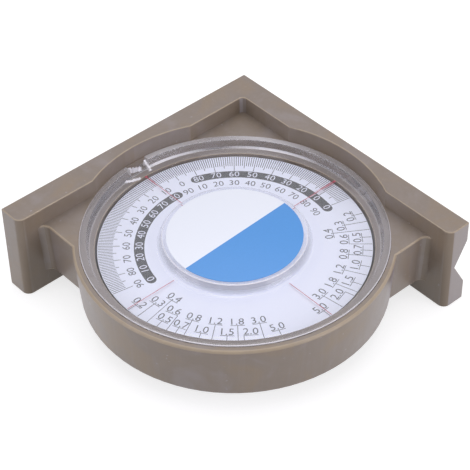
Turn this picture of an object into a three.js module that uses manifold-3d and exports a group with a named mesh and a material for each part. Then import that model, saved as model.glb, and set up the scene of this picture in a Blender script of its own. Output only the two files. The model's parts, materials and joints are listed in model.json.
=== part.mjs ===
// Magnetic angle finder, lying on its back with the dial face up.
// An L-shaped moulded frame has a flat magnetic leg and a V-grooved leg, and carries a round case.
// In the case a weighted dial turns freely on a fixed pin, under a clear cover with a raised centre.
// Units are millimetres. +Z is the dial axis, +X runs along the magnetic leg and +Y along the
// V-grooved leg, both away from the corner. The origin is the middle of the box round the object,
// at the level of the surface that the legs lie on.

import * as THREE from 'three';
import { mergeVertices } from 'three/addons/utils/BufferGeometryUtils.js';
import Module from 'manifold-3d';

const wasm = await Module();
wasm.setup();

// Facets round a large and a small circle, and along a rounded edge of a thick and a thin wall
const largeFacets = 80;
const smallFacets = 32;
const edgeFacets = 3;
const fineFacets = 2;

// Overrun of a cutting shape past the face that it opens
const overrun = 1;

// Legs of the frame
const legDepth = 31;
const flatLegThickness = 8.7;
const grooveLegThickness = 8.4;
const legTail = 9.3;
const legEndRound = 2.5;
const legEndEdge = 0.4;
const outerCornerRound = 0.6;
const innerCornerRound = 1.5;
const legEdgeRound = 0.3;
const leastFlatLegWall = 4.3;
const leastGrooveLegWall = 3.2;

// V-groove along the outer face of the upright leg
const grooveWidth = 17.4;
const grooveAngle = THREE.MathUtils.degToRad(120);

// Round case between the legs, and the webs that tie it to them
const caseDepth = 19;
const caseWall = 2;
const caseDraft = 1.3;
const caseFrontRound = 0.8;
const caseBackRound = 1;
const caseFloor = 2;
const cavityFloorRound = 1.5;
const seatLedge = 4.6;
const reliefStep = 0.5;
const webReach_share = 0.797;
const webDraft = 1.1;
const webRound = 2.6;
const webEdgeRound = 0.5;

// Clear cover
const coverRadius = 47.3;
const coverClearance = 0.1;
const coverStand = 0.6;
const windowThickness = 1.8;
const rimWidth = 2.3;
const rimRise = 2.8;
const rimTaper = 0.3;
const rimEdgeRound = 0.35;
const rimFootRound = 0.8;
const bossRise = 2.6;
const bossWall = 1.5;
const bossFlare = 1;
const bossEdgeRound = 0.5;
const bossFootRound = 0.5;
const notchStart = THREE.MathUtils.degToRad(-94.2);
const notchEnd = THREE.MathUtils.degToRad(-84.5);
const notchStep = 0.3;
const socketWall = 1.6;
const socketGap = 0.5;

// Round label on the raised centre of the cover
const labelRadius = 20.9;
const labelThickness = 0.2;
const labelMargin = 1.5;
const labelClearance = 0.3;

// Pivot pin with its washers and retaining ring
const pinRadius = 1.5;
const pinClearance = 0.1;
const pinPoint = 0.4;
const pinBossRadius = 4.2;
const pinBossFoot = 1.5;
const washerRadius = 3.8;
const washerThickness = 0.5;
const retainerRadius = 3.6;
const retainerThickness = 0.5;
const thrustGap = 0.3;

// Dial: printed card on a disc, on a flanged bush, with a counterweight below
const dialTurn = THREE.MathUtils.degToRad(-11.5);
const cardThickness = 0.3;
const cardGap = 0.75;
const dialRunningGap = 0.7;
const discThickness = 1.2;
const discLipWidth = 1;
const discLipDepth = 1.2;
const bushRadius = 4;
const bushBarrel = 4.5;
const bushStand = 0.7;
const bushFlangeRadius = 8;
const bushFlange = 0.8;
const bushFit = 0.1;
const weightInnerRadius = 20;
const weightBorder = 3;
const weightThickness = 2.5;
const weightSweep = THREE.MathUtils.degToRad(140);
const rivetRadius = 1.5;
const rivetFit = 0.1;
const rivetHeadRadius = 2.7;
const rivetHead = 1;
const rivetHeadEdge = 0.5;
const rivetCount = 3;
const rivetSweep_share = 0.75;

// Bar magnets and their steel back plates, in pockets of the flat leg
const magnetLength = 29.4;
const magnetWidth = 9.4;
const magnetThickness = 3.2;
const magnetClearance = 0.3;
const magnetRecess = 0.3;
const magnetMargin = 9.3;
const magnetCount = 2;
const pocketCornerRound = 1;
const backPlateThickness = 1;

// Radii and places in plan, worked out from the cover outwards
const seatRadius = coverRadius + coverClearance;
const cavityRadius = seatRadius - seatLedge;
const cardRadius = cavityRadius - dialRunningGap;
const caseFrontRadius = seatRadius + caseWall;
const caseBackRadius = caseFrontRadius - caseDraft;
const reliefRadius = seatRadius + reliefStep;
const dialHeight = reliefRadius + leastFlatLegWall;
const dialInset = reliefRadius + leastGrooveLegWall;
const flatLegInner = flatLegThickness - dialHeight;
const grooveLegInner = grooveLegThickness - dialInset;
const webReach = webReach_share * caseFrontRadius;
const legEnd = webReach + legTail;
const reach = Math.max(legEnd, caseFrontRadius);
const bossTopRadius = labelRadius + labelMargin;
const bossBaseRadius = bossTopRadius + bossFlare;
const boreRadius = pinRadius + pinClearance;

// Levels above the surface that the legs lie on
const caseBack = (legDepth - caseDepth) / 2;
const caseFront = caseBack + caseDepth;
const cavityFloor = caseBack + caseFloor;
const seatLevel = caseFront + coverStand - rimRise - windowThickness;
const windowTop = seatLevel + windowThickness;
const rimTop = windowTop + rimRise;
const bossTop = windowTop + bossRise;
const bossCeiling = bossTop - bossWall;
const cardTop = seatLevel - cardGap;
const discTop = cardTop - cardThickness;
const discBottom = discTop - discThickness;
const weightBottom = discBottom - weightThickness;
const bushBottom = discBottom - bushBarrel;
const bushTop = cardTop + bushStand;
const lowerWasherBottom = bushBottom - thrustGap - washerThickness;
const upperWasherBottom = bushTop + thrustGap;
const retainerBottom = upperWasherBottom + washerThickness;
const socketBottom = retainerBottom + retainerThickness + socketGap;
const pinBottom = caseBack + caseFloor / 2;
const pinTop = bossCeiling - thrustGap;

// Turns a closed geometry into a solid that can be joined and cut.
function toSolid(geometry) {
  const bare = geometry.clone();
  bare.deleteAttribute('normal');
  bare.deleteAttribute('uv');
  const welded = mergeVertices(bare);
  const corners = welded.getIndex().array;
  const triangles = [];
  for (let i = 0; i < corners.length; i += 3) {
    const [a, b, c] = corners.slice(i, i + 3);
    if (a !== b && b !== c && c !== a) triangles.push(a, b, c);
  }
  return new wasm.Manifold(new wasm.Mesh({
    numProp: 3,
    vertProperties: Float32Array.from(welded.getAttribute('position').array),
    triVerts: Uint32Array.from(triangles),
  }));
}

// Turns a solid into a named mesh with its own material.
function toMesh(name, solid, finish) {
  const { vertProperties, triVerts } = solid.getMesh();
  const geometry = new THREE.BufferGeometry();
  geometry.setAttribute('position', new THREE.BufferAttribute(vertProperties, 3));
  geometry.setIndex(new THREE.BufferAttribute(triVerts, 1));
  geometry.computeVertexNormals();
  const mesh = new THREE.Mesh(geometry, new THREE.MeshStandardMaterial(finish));
  mesh.name = name;
  return mesh;
}

// Points of an arc from one angle to another, in degrees, in the plane of a profile.
function arcPoints(centreX, centreY, radius, from, to, facets = edgeFacets) {
  const points = [];
  for (let i = 0; i <= facets; i += 1) {
    const angle = THREE.MathUtils.degToRad(from + ((to - from) * i) / facets);
    points.push([centreX + radius * Math.cos(angle), centreY + radius * Math.sin(angle)]);
  }
  return points;
}

// Revolves a profile of [radius, height] pairs about the Z axis.
function revolve(profile, facets = largeFacets) {
  const points = profile.map(([radius, height]) => new THREE.Vector2(radius, height));
  return toSolid(new THREE.LatheGeometry(points, facets).rotateX(Math.PI / 2));
}

// A flat ring or disc between two levels; an inner radius of zero gives a disc.
function ring(innerRadius, outerRadius, bottom, top, facets = largeFacets) {
  const profile = [[innerRadius, bottom], [outerRadius, bottom], [outerRadius, top], [innerRadius, top]];
  if (innerRadius > 0) profile.push([innerRadius, bottom]);
  return revolve(profile, facets);
}

// A closed outline through [x, y, round] corners, each rounded with an arc of its own radius.
function roundedOutline(corners) {
  const shape = new THREE.Shape();
  corners.forEach(([x, y, round], i) => {
    const corner = new THREE.Vector2(x, y);
    const [beforeX, beforeY] = corners[(i + corners.length - 1) % corners.length];
    const [afterX, afterY] = corners[(i + 1) % corners.length];
    const back = new THREE.Vector2(beforeX, beforeY).sub(corner).normalize();
    const ahead = new THREE.Vector2(afterX, afterY).sub(corner).normalize();
    const halfAngle = Math.acos(THREE.MathUtils.clamp(back.dot(ahead), -1, 1)) / 2;
    const setback = round / Math.tan(halfAngle);
    const start = corner.clone().addScaledVector(back, setback);
    const end = corner.clone().addScaledVector(ahead, setback);
    if (i === 0) shape.moveTo(start.x, start.y);
    else shape.lineTo(start.x, start.y);
    if (round === 0) return;
    const inwards = back.clone().add(ahead).normalize();
    const centre = corner.clone().addScaledVector(inwards, round / Math.sin(halfAngle));
    const from = Math.atan2(start.y - centre.y, start.x - centre.x);
    const to = Math.atan2(end.y - centre.y, end.x - centre.x);
    shape.absarc(centre.x, centre.y, round, from, to, back.cross(ahead) > 0);
  });
  shape.closePath();
  return shape;
}

// Extrudes an outline between two levels, with its end edges rounded inside the outline.
function extrudeGeometry(shape, bottom, top, round, curveSegments) {
  const geometry = new THREE.ExtrudeGeometry(shape, {
    depth: top - bottom - 2 * round,
    curveSegments,
    bevelEnabled: round > 0,
    bevelThickness: round,
    bevelSize: round,
    bevelOffset: -round,
    bevelSegments: edgeFacets,
  });
  return geometry.translate(0, 0, bottom + round);
}

// The same as a solid.
function extrude(shape, bottom, top, round = 0, curveSegments = edgeFacets) {
  return toSolid(extrudeGeometry(shape, bottom, top, round, curveSegments));
}

// An annular sector outline between two radii and two angles.
function sectorOutline(innerRadius, outerRadius, from, to) {
  const shape = new THREE.Shape();
  shape.absarc(0, 0, outerRadius, from, to, false);
  shape.absarc(0, 0, innerRadius, to, from, true);
  shape.closePath();
  return shape;
}

// Centres of the magnets along the flat leg, with the outer two set in from the ends of the leg.
function magnetCentres() {
  const first = magnetMargin + magnetLength / 2 - dialInset;
  const last = legEnd - magnetMargin - magnetLength / 2;
  return Array.from({ length: magnetCount }, (_, i) => first + ((last - first) * i) / (magnetCount - 1));
}

// A rounded block that reaches from the outer face of the flat leg into it, between two depths.
function blockInFlatLeg(centreX, length, width, from, to, round) {
  const halfLength = length / 2;
  const halfWidth = width / 2;
  const outline = roundedOutline([
    [-halfLength, -halfWidth, round],
    [halfLength, -halfWidth, round],
    [halfLength, halfWidth, round],
    [-halfLength, halfWidth, round],
  ]);
  const geometry = new THREE.ExtrudeGeometry(outline, {
    depth: to - from,
    bevelEnabled: false,
    curveSegments: edgeFacets,
  });
  return toSolid(geometry.rotateX(Math.PI / 2).translate(centreX, to - dialHeight, legDepth / 2));
}

// The two legs, as one L with rounded ends.
function makeLegs() {
  return extrude(roundedOutline([
    [-dialInset, -dialHeight, outerCornerRound],
    [legEnd, -dialHeight, legEndEdge],
    [legEnd, flatLegInner, legEndRound],
    [grooveLegInner, flatLegInner, innerCornerRound],
    [grooveLegInner, legEnd, legEndRound],
    [-dialInset, legEnd, legEndEdge],
  ]), 0, legDepth, legEdgeRound);
}

// Draws the free ends of a shape that is level with the case in towards the back, for draft.
function draftFreeEnds(geometry, reach, draft) {
  const position = geometry.getAttribute('position');
  for (let i = 0; i < position.count; i += 1) {
    const shrink = 1 - ((draft / reach) * (caseFront - position.getZ(i))) / caseDepth;
    if (position.getX(i) > 0) position.setX(i, position.getX(i) * shrink);
    if (position.getY(i) > 0) position.setY(i, position.getY(i) * shrink);
  }
  return geometry;
}

// The webs that fill the corner between the legs and the case, from the middle of the legs' walls.
// Each ends square to its leg, with a hollow rounding there, and runs into the wall of the case.
function makeWebs() {
  const root = (cavityRadius + caseBackRadius) / 2;
  const webRoot = -Math.sqrt(root * root - webReach * webReach);
  const flatLegCore = flatLegInner - flatLegThickness / 2;
  const grooveLegCore = grooveLegInner - grooveLegThickness / 2;
  const webFoot = webReach + webRound;
  const shape = new THREE.Shape();
  shape.moveTo(grooveLegCore, flatLegCore);
  shape.lineTo(webFoot, flatLegCore);
  shape.lineTo(webFoot, flatLegInner);
  shape.absarc(webFoot, flatLegInner + webRound, webRound, -Math.PI / 2, -Math.PI, true);
  shape.lineTo(webReach, webRoot);
  shape.lineTo(0, 0);
  shape.lineTo(webRoot, webReach);
  shape.lineTo(grooveLegInner + webRound, webReach);
  shape.absarc(grooveLegInner + webRound, webFoot, webRound, -Math.PI / 2, -Math.PI, true);
  shape.lineTo(grooveLegCore, webFoot);
  shape.closePath();
  const block = extrudeGeometry(shape, caseBack, caseFront, webEdgeRound, edgeFacets * 2);
  return toSolid(draftFreeEnds(block, webReach, webDraft));
}

// The round case as a solid block, tapering to the back, with rounded edges.
function makeCaseBlock() {
  return revolve([
    [0, caseBack],
    ...arcPoints(caseBackRadius - caseBackRound, caseBack + caseBackRound, caseBackRound, -90, 0),
    ...arcPoints(caseFrontRadius - caseFrontRound, caseFront - caseFrontRound, caseFrontRound, 0, 90),
    [0, caseFront],
  ]);
}

// The space cut from the frame: dial cavity, seat of the cover, and the relief arcs in both legs.
function makeCaseCutter() {
  const lipRadius = reliefRadius + legEdgeRound;
  return revolve([
    [0, cavityFloor],
    ...arcPoints(cavityRadius - cavityFloorRound, cavityFloor + cavityFloorRound, cavityFloorRound, -90, 0),
    [cavityRadius, seatLevel],
    [seatRadius, seatLevel],
    [seatRadius, caseFront],
    [reliefRadius, caseFront],
    ...arcPoints(lipRadius, legDepth - legEdgeRound, legEdgeRound, 180, 90),
    [lipRadius, legDepth + overrun],
    [0, legDepth + overrun],
  ]);
}

// The boss inside the case that holds the pivot pin, with a flared foot and a blind bore.
function makePinBoss() {
  return revolve([
    [0, caseBack + caseFloor / 4],
    [pinBossRadius + pinBossFoot, caseBack + caseFloor / 4],
    [pinBossRadius + pinBossFoot, cavityFloor],
    ...arcPoints(pinBossRadius + pinBossFoot, cavityFloor + pinBossFoot, pinBossFoot, -90, -180),
    [pinBossRadius, lowerWasherBottom],
    [boreRadius, lowerWasherBottom],
    [boreRadius, pinBottom],
    [0, pinBottom],
  ], smallFacets);
}

// The V-groove cut along the whole upright leg.
function makeGrooveCutter() {
  const slope = Math.tan(grooveAngle / 2);
  const halfWidth = grooveWidth / 2;
  const profile = new THREE.Shape();
  profile.moveTo(-overrun, -halfWidth - overrun * slope);
  profile.lineTo(halfWidth / slope, 0);
  profile.lineTo(-overrun, halfWidth + overrun * slope);
  profile.closePath();
  const geometry = new THREE.ExtrudeGeometry(profile, {
    depth: dialHeight + legEnd + 2 * overrun,
    bevelEnabled: false,
  });
  return toSolid(geometry.rotateX(Math.PI / 2).translate(-dialInset, legEnd + overrun, legDepth / 2));
}

// One moulding: legs, webs and case, with the groove and the magnet pockets.
function makeFrame() {
  let frame = makeLegs().add(makeWebs()).add(makeCaseBlock());
  frame = frame.subtract(makeCaseCutter()).subtract(makeGrooveCutter());
  const pocketDepth = magnetRecess + magnetThickness + backPlateThickness;
  for (const centreX of magnetCentres()) {
    const length = magnetLength + 2 * magnetClearance;
    const width = magnetWidth + 2 * magnetClearance;
    frame = frame.subtract(
      blockInFlatLeg(centreX, length, width, -overrun, pocketDepth, pocketCornerRound + magnetClearance));
  }
  const pinBore = ring(0, boreRadius, pinBottom, cavityFloor + overrun, smallFacets);
  return frame.subtract(pinBore).add(makePinBoss());
}

// The clear cover: flat window, upstanding rim, raised centre with a hollow and a pin socket below.
function makeCover() {
  const rimInner = coverRadius - rimWidth;
  const rimFoot = rimInner - rimTaper;
  const socketRadius = boreRadius + socketWall;
  const hollowTopRadius = bossTopRadius - bossWall;
  const hollowBaseRadius = bossBaseRadius - bossWall;
  const recessRadius = labelRadius + labelClearance;
  const cover = revolve([
    [0, bossCeiling],
    [boreRadius, bossCeiling],
    [boreRadius, socketBottom],
    [socketRadius, socketBottom],
    [socketRadius, bossCeiling],
    [hollowTopRadius, bossCeiling],
    [hollowBaseRadius, seatLevel],
    [coverRadius, seatLevel],
    ...arcPoints(coverRadius - rimEdgeRound, rimTop - rimEdgeRound, rimEdgeRound, 0, 90, fineFacets),
    ...arcPoints(rimInner + rimEdgeRound, rimTop - rimEdgeRound, rimEdgeRound, 90, 180, fineFacets),
    ...arcPoints(rimFoot - rimFootRound, windowTop + rimFootRound, rimFootRound, 0, -90),
    ...arcPoints(
      bossBaseRadius + bossFootRound, windowTop + bossFootRound, bossFootRound, -90, -150, fineFacets),
    ...arcPoints(
      bossTopRadius - bossEdgeRound, bossTop - bossEdgeRound, bossEdgeRound, 30, 90, fineFacets),
    [recessRadius, bossTop],
    [recessRadius, bossTop - labelThickness],
    [0, bossTop - labelThickness],
  ]);
  const notch = extrude(
    sectorOutline(rimFoot - rimFootRound, coverRadius + overrun, notchStart, notchEnd),
    windowTop + notchStep, rimTop + overrun);
  return cover.subtract(notch);
}

// The turning dial's plate: a disc with a lip under its edge, and holes for the bush and rivets.
function makeDisc() {
  let disc = revolve([
    [bushRadius + bushFit, discBottom],
    [cardRadius - discLipWidth, discBottom],
    [cardRadius - discLipWidth, discBottom - discLipDepth],
    [cardRadius, discBottom - discLipDepth],
    [cardRadius, discTop],
    [bushRadius + bushFit, discTop],
    [bushRadius + bushFit, discBottom],
  ]);
  const hole = rivetHole(discBottom, discTop);
  for (const [x, y] of rivetCentres()) disc = disc.subtract(hole.translate([x, y, 0]));
  return disc;
}

// The flanged brass bush on which the dial turns.
function makeBush() {
  return revolve([
    [boreRadius, bushBottom],
    [bushRadius, bushBottom],
    [bushRadius, discBottom - bushFlange],
    [bushFlangeRadius, discBottom - bushFlange],
    [bushFlangeRadius, discBottom],
    [bushRadius, discBottom],
    [bushRadius, bushTop],
    [boreRadius, bushTop],
    [boreRadius, bushBottom],
  ], smallFacets);
}

// Places of the rivets on the middle line of the counterweight.
function rivetCentres() {
  const radius = (weightInnerRadius + weightOuterRadius()) / 2;
  return Array.from({ length: rivetCount }, (_, i) => {
    const step = i / (rivetCount - 1) - 1 / 2;
    const angle = weightMiddle() + step * weightSweep * rivetSweep_share;
    return [radius * Math.cos(angle), radius * Math.sin(angle)];
  });
}

// The shape that drills a rivet's hole between two levels, on the Z axis.
function rivetHole(bottom, top) {
  return ring(0, rivetRadius + rivetFit, bottom - overrun, top + overrun, smallFacets);
}

// Outer radius of the counterweight, inside the lip of the disc.
function weightOuterRadius() {
  return cardRadius - discLipWidth - weightBorder;
}

// Direction of the counterweight's middle: the slope half of the dial.
function weightMiddle() {
  return Math.PI / 2 + dialTurn;
}

// The counterweight: a flat steel crescent under the disc, drilled for its rivets.
function makeCounterweight() {
  const from = weightMiddle() - weightSweep / 2;
  const outline = sectorOutline(weightInnerRadius, weightOuterRadius(), from, from + weightSweep);
  let weight = extrude(outline, weightBottom, discBottom, 0, largeFacets / 4);
  const hole = rivetHole(weightBottom, discBottom);
  for (const [x, y] of rivetCentres()) weight = weight.subtract(hole.translate([x, y, 0]));
  return weight;
}

// A rivet from the top of the disc through the weight, with a low round head below.
function makeRivet(x, y) {
  const headBottom = weightBottom - rivetHead;
  return revolve([
    [0, headBottom],
    [rivetHeadRadius - rivetHeadEdge, headBottom],
    [rivetHeadRadius, headBottom + rivetHeadEdge],
    [rivetHeadRadius, weightBottom],
    [rivetRadius, weightBottom],
    [rivetRadius, discTop],
    [0, discTop],
  ], smallFacets).translate([x, y, 0]);
}

// The pivot pin, with both ends chamfered.
function makePin() {
  return revolve([
    [0, pinBottom],
    [pinRadius - pinPoint, pinBottom],
    [pinRadius, pinBottom + pinPoint],
    [pinRadius, pinTop - pinPoint],
    [pinRadius - pinPoint, pinTop],
    [0, pinTop],
  ], smallFacets);
}

const mouldedPlastic = { color: '#8f857a', roughness: 0.45, metalness: 0 };
const clearPlastic = { color: '#e9f0f4', roughness: 0.05, metalness: 0, transparent: true, opacity: 0.3 };
const labelFilm = { color: '#4a8fdc', roughness: 0.4, metalness: 0 };
const printedCard = { color: '#e8eafa', roughness: 0.6, metalness: 0 };
const darkPlastic = { color: '#34343a', roughness: 0.5, metalness: 0 };
const brass = { color: '#b8954c', roughness: 0.35, metalness: 1 };
const steel = { color: '#a8abb0', roughness: 0.35, metalness: 1 };
const platedSteel = { color: '#7d8086', roughness: 0.45, metalness: 1 };
const nylon = { color: '#e6e0d2', roughness: 0.5, metalness: 0 };
const ferrite = { color: '#3b3a3d', roughness: 0.7, metalness: 0 };

// Everything that stays with the frame
function makeHousing() {
  const housing = new THREE.Group();
  housing.add(toMesh('frame', makeFrame(), mouldedPlastic));
  housing.add(toMesh('clear_cover', makeCover(), clearPlastic));
  housing.add(toMesh('cover_label', ring(0, labelRadius, bossTop - labelThickness, bossTop), labelFilm));
  housing.add(toMesh('pivot_pin', makePin(), steel));
  const washer = (bottom) => ring(boreRadius, washerRadius, bottom, bottom + washerThickness, smallFacets);
  housing.add(toMesh('lower_washer', washer(lowerWasherBottom), nylon));
  housing.add(toMesh('upper_washer', washer(upperWasherBottom), nylon));
  const retainerTop = retainerBottom + retainerThickness;
  const retainer = ring(boreRadius, retainerRadius, retainerBottom, retainerTop, smallFacets);
  housing.add(toMesh('retaining_ring', retainer, steel));
  const magnetBack = magnetRecess + magnetThickness;
  magnetCentres().forEach((centreX, i) => {
    const block = (from, to) =>
      blockInFlatLeg(centreX, magnetLength, magnetWidth, from, to, pocketCornerRound);
    housing.add(toMesh(`magnet_${i + 1}`, block(magnetRecess, magnetBack), ferrite));
    const backPlate = block(magnetBack, magnetBack + backPlateThickness);
    housing.add(toMesh(`magnet_back_plate_${i + 1}`, backPlate, platedSteel));
  });
  return housing;
}

// Everything that turns with the dial
function makeDial() {
  const dial = new THREE.Group();
  dial.add(toMesh('dial_card', ring(bushRadius + bushFit, cardRadius, discTop, cardTop), printedCard));
  dial.add(toMesh('dial_disc', makeDisc(), darkPlastic));
  dial.add(toMesh('hub_bush', makeBush(), brass));
  dial.add(toMesh('counterweight', makeCounterweight(), platedSteel));
  rivetCentres().forEach(([x, y], i) => {
    dial.add(toMesh(`weight_rivet_${i + 1}`, makeRivet(x, y), steel));
  });
  return dial;
}

const angleFinder = new THREE.Group();
angleFinder.add(makeHousing(), makeDial());
angleFinder.position.set((dialInset - reach) / 2, (dialHeight - reach) / 2, 0);

export default angleFinder;
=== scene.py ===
"""Magnetic angle finder, lying on its back with its weighted dial face up.

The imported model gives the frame's shape, the dial's axis, and the radius and levels of the card and
the label. Finer sizes are fields of the classes below. The script dresses the model's nodes, stands
finer pieces in for the frame, cover, label and card, prints the dial, and sets up a plain studio
and the camera. Sizes are in millimetres about the dial axis, and the Workshop takes them into the
model's frame.
"""

import json
import logging
import math
import random
from dataclasses import dataclass, field
from enum import Enum
from typing import Callable, Sequence

import bmesh
import bpy
from mathutils import Matrix, Quaternion, Vector

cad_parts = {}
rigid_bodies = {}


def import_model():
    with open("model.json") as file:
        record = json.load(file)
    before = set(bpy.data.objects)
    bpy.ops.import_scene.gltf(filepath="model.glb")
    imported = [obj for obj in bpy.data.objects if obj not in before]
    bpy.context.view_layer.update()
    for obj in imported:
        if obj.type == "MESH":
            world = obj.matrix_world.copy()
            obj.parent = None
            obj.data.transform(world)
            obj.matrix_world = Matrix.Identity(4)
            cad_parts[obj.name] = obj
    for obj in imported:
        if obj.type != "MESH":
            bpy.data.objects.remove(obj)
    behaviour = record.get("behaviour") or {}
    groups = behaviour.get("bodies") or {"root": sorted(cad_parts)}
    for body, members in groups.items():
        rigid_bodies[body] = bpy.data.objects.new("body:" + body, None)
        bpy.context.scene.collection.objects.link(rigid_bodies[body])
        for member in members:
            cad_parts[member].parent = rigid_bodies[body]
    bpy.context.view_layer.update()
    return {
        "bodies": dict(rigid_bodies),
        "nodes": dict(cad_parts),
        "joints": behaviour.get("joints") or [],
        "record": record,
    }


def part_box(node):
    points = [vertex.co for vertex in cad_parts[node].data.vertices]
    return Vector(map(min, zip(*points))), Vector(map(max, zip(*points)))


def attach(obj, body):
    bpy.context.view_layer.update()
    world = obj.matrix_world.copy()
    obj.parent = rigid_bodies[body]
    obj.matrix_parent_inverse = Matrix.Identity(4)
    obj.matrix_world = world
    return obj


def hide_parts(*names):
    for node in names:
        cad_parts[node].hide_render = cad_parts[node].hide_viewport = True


LOG = logging.getLogger("angle_finder")

Colour = tuple[float, float, float]
Triple = tuple[float, float, float]
Point = tuple[float, float]
Shape = bmesh.types.BMesh
Face = bmesh.types.BMFace
Thing = bpy.types.Object
Material = bpy.types.Material

MILLIMETRE = 0.001

# Features per metre in the speckle of all print
PRINT_GRAIN = 2500


class Body(Enum):
    """The two bodies of the model."""

    HOUSING = "housing"
    DIAL = "dial"


class Slot(Enum):
    """The record's material slots."""

    MOULDED = "moulded_plastic"
    CLEAR = "clear_plastic"
    LABEL = "label_film"
    CARD = "printed_card"


class Facing(Enum):
    """Which way the tops of the figures on the card point."""

    OUTWARDS = -90
    INWARDS = 90


# Shader graph


def maths(operation: str, swapped: bool = False) -> Callable[["Signal", "Value"], "Signal"]:
    """An operator of Signal, which adds a Math node.

    Args:
        operation: The node's operation.
        swapped: True where the signal is the second operand.

    Returns:
        The operator's method.
    """

    def operator(self: "Signal", other: "Value") -> "Signal":
        """Adds the node."""
        first, second = (other, self) if swapped else (self, other)
        return self.graph.node("Math", {0: first, 1: second}, operation=operation)

    return operator


class Signal:
    """A shader socket that takes part in Python expressions by adding Math nodes."""

    __add__ = maths("ADD")
    __radd__ = maths("ADD", swapped=True)
    __sub__ = maths("SUBTRACT")
    __rsub__ = maths("SUBTRACT", swapped=True)
    __mul__ = maths("MULTIPLY")
    __rmul__ = maths("MULTIPLY", swapped=True)
    __gt__ = maths("GREATER_THAN")

    def __init__(self, graph: "ShaderGraph", socket: bpy.types.NodeSocket | None) -> None:
        """Wraps an output socket of a graph."""
        self.graph = graph
        self.socket = socket

    def clamped(self) -> "Signal":
        """The value held between 0 and 1."""
        return self.graph.node("Clamp", {"Value": self})


Value = Signal | float | Sequence[float]


class ShaderGraph:
    """Builds the node tree of one material, or of the world."""

    def __init__(self, name: str, world: bool = False) -> None:
        """Starts an empty material or world.

        Args:
            name: Its name.
            world: True for the world in place of a material.
        """
        self.owner = (bpy.data.worlds if world else bpy.data.materials).new(name)
        self.owner.use_nodes = True
        self.output = "OutputWorld" if world else "OutputMaterial"
        self.tree = self.owner.node_tree
        self.tree.nodes.clear()

    def node(
        self, kind: str, sockets: dict[str | int, Value] | None = None, output: str | int = 0,
        **settings: str,
    ) -> Signal:
        """Adds a node.

        Args:
            kind: The node's type, without the words that all types start with.
            sockets: A value or a link for each named or numbered input.
            output: The output that is returned.
            settings: The node's properties, set before its sockets.

        Returns:
            The chosen output, or one without a socket where the node has none.
        """
        made = self.tree.nodes.new("ShaderNode" + kind)
        for key, setting in settings.items():
            setattr(made, key, setting)
        for key, value in (sockets or {}).items():
            if isinstance(value, Signal):
                self.tree.links.new(value.socket, made.inputs[key])
            else:
                made.inputs[key].default_value = value
        return Signal(self, made.outputs[output] if len(made.outputs) else None)

    def place(self) -> Signal:
        """Object coordinates, in metres."""
        return self.node("TexCoord", output="Object")

    def along(self, axis: str) -> Signal:
        """One of the object coordinates, in metres."""
        return self.node("SeparateXYZ", {0: self.place()}, axis)

    def mark(self, name: str) -> Signal:
        """A face attribute of the mesh."""
        return self.node("Attribute", output="Fac", attribute_name=name)

    def ray(self, kind: str) -> Signal:
        """1 for rays of that kind, else 0."""
        return self.node("LightPath", output=f"Is {kind} Ray")

    def noise(
        self, scale: float, detail: float = 2, vector: Signal | None = None, distortion: float = 0
    ) -> Signal:
        """Adds noise.

        Args:
            scale: Features per metre.
            detail: How many finer layers it has.
            vector: Where it is read, or None for the object's coordinates.
            distortion: How much it swirls.

        Returns:
            A value between 0 and 1.
        """
        return self.node("TexNoise", {
            "Vector": vector or self.place(), "Scale": scale, "Detail": detail,
            "Distortion": distortion})

    def stretched(self, factors: Sequence[float]) -> Signal:
        """Object coordinates, stretched by a factor along each axis."""
        return self.node("Mapping", {"Vector": self.place(), "Scale": factors})

    def blend(self, share: Value, first: Value, second: Value) -> Signal:
        """A colour between two colours."""
        first, second = (end if isinstance(end, Signal) else (*end, 1) for end in (first, second))
        return self.node("Mix", {0: share, 6: first, 7: second}, 2, data_type="RGBA")

    def layer(self, share: Value, under: Signal, over: Signal) -> Signal:
        """A surface between two surfaces."""
        return self.node("MixShader", {0: share, 1: under, 2: over})

    def bump(self, height: Signal, strength: float, distance: float) -> Signal:
        """A normal from a height, with distance in metres."""
        return self.node("Bump", {"Height": height, "Strength": strength, "Distance": distance})

    def principled(self, sockets: dict[str | int, Value]) -> Signal:
        """The main surface shader."""
        return self.node("BsdfPrincipled", sockets)

    def lets_light_through(self, surface: Signal, share: float = 1) -> Signal:
        """Lets light through a surface to what lies behind it.

        Args:
            surface: The surface.
            share: How much of the light passes, from 0 to 1.

        Returns:
            The surface, which a camera sees as before.
        """
        air = self.node("BsdfTransparent")
        for kind in ("Diffuse", "Shadow"):
            surface = self.layer(self.ray(kind) * share, surface, air)
        return surface

    def finish(self, surface: Signal) -> Material | bpy.types.World:
        """Connects the surface and returns the material or the world."""
        self.node(self.output, {"Surface": surface})
        return self.owner


# Finishes. Their scales are in features per metre, and the heights of their relief in metres.


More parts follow.
